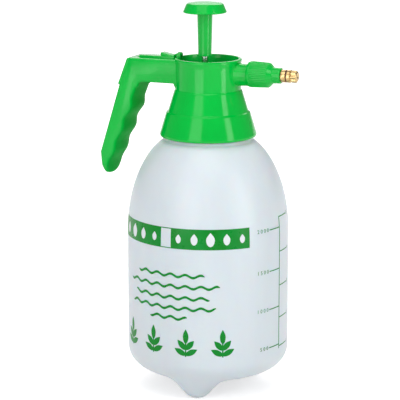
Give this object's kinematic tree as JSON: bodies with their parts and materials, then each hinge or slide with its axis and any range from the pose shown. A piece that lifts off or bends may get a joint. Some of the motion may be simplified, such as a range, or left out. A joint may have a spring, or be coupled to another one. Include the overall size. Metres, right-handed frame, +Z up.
{
  "type": "pump sprayer",
  "caption": "Hand pressure sprayer: round bottle on stub feet, screw-on head with plunger pump, thumb lever, pistol grip and adjustable brass nozzle.",
  "frame": {"origin": "middle of the outer box at floor level, under the stub feet", "axes": "+Z up along the bottle, +X along the nozzle, away from the grip, +Y to the left of the nozzle"},
  "size_m": [0.1642, 0.13, 0.3136],
  "materials": {
    "bottle_plastic": "translucent satin",
    "green_plastic": "moulded gloss",
    "white_plastic": "moulded satin",
    "hose_plastic": "clear flexible",
    "brass": "turned",
    "steel": "drawn",
    "black_rubber": "matte",
    "red_rubber": "matte"
  },
  "bodies": {
    "bottle": {"bottle": "bottle_plastic"},
    "gasket": {"neck_gasket": "black_rubber"},
    "head": {"head_collar": "green_plastic", "handle": "green_plastic", "elbow_cap": "green_plastic", "cap_screw": "steel", "lever_pin": "steel", "pump_cylinder": "white_plastic", "pump_cap": "white_plastic", "check_valve": "red_rubber", "dip_tube": "hose_plastic", "dip_strainer": "green_plastic", "tube_grommet": "black_rubber", "outlet_hose": "hose_plastic", "valve_body": "white_plastic", "valve_gland": "white_plastic", "valve_spring": "steel", "holder_washer": "black_rubber", "nozzle_holder": "green_plastic", "nozzle_core": "brass"},
    "plunger": {"plunger_handle": "green_plastic", "piston_rod": "steel", "piston": "white_plastic", "piston_seal": "black_rubber", "rod_nut": "steel"},
    "lever": {"thumb_lever": "green_plastic"},
    "stem": {"valve_stem": "brass", "stem_seal": "black_rubber"},
    "tip_ring": {"nozzle_oring": "red_rubber"},
    "tip": {"nozzle_tip": "brass"}
  },
  "joints": [
    {"name": "head_rise", "type": "slide", "parent": "bottle", "child": "gasket", "axis": [0, 0, 1], "range_m": [0, 0.00901]},
    {"name": "head_turn", "type": "hinge", "parent": "gasket", "child": "head", "pos_m": [0.00665, 0, 0.2195], "axis": [0, 0, 1], "range_deg": [0, 540]},
    {"name": "pump_stroke", "type": "slide", "parent": "head", "child": "plunger", "axis": [0, 0, -1], "range_m": [0, 0.0345]},
    {"name": "trigger", "type": "hinge", "parent": "head", "child": "lever", "pos_m": [-0.01795, 0, 0.2709], "axis": [0, -1, 0], "range_deg": [0, 4], "stiffness_Nm_per_rad": 1, "springref_deg": -5.73},
    {"name": "valve_press", "type": "slide", "parent": "head", "child": "stem", "axis": [0, 0, -1], "range_m": [0, 0.00125], "deforming": ["valve_spring"]},
    {"name": "tip_advance", "type": "slide", "parent": "head", "child": "tip_ring", "axis": [1, 0, 0], "range_m": [0, 0.0015]},
    {"name": "tip_turn", "type": "hinge", "parent": "tip_ring", "child": "tip", "pos_m": [0.0775, 0, 0.2581], "axis": [1, 0, 0], "range_deg": [0, 540]}
  ],
  "couplings": [
    {"joint": "head_rise", "follows": "head_turn", "m_per_rad": 0.00095493},
    {"joint": "valve_press", "follows": "trigger", "m_per_rad": 0.0174},
    {"joint": "tip_turn", "follows": "tip_advance", "rad_per_m": 6283.2}
  ]
}
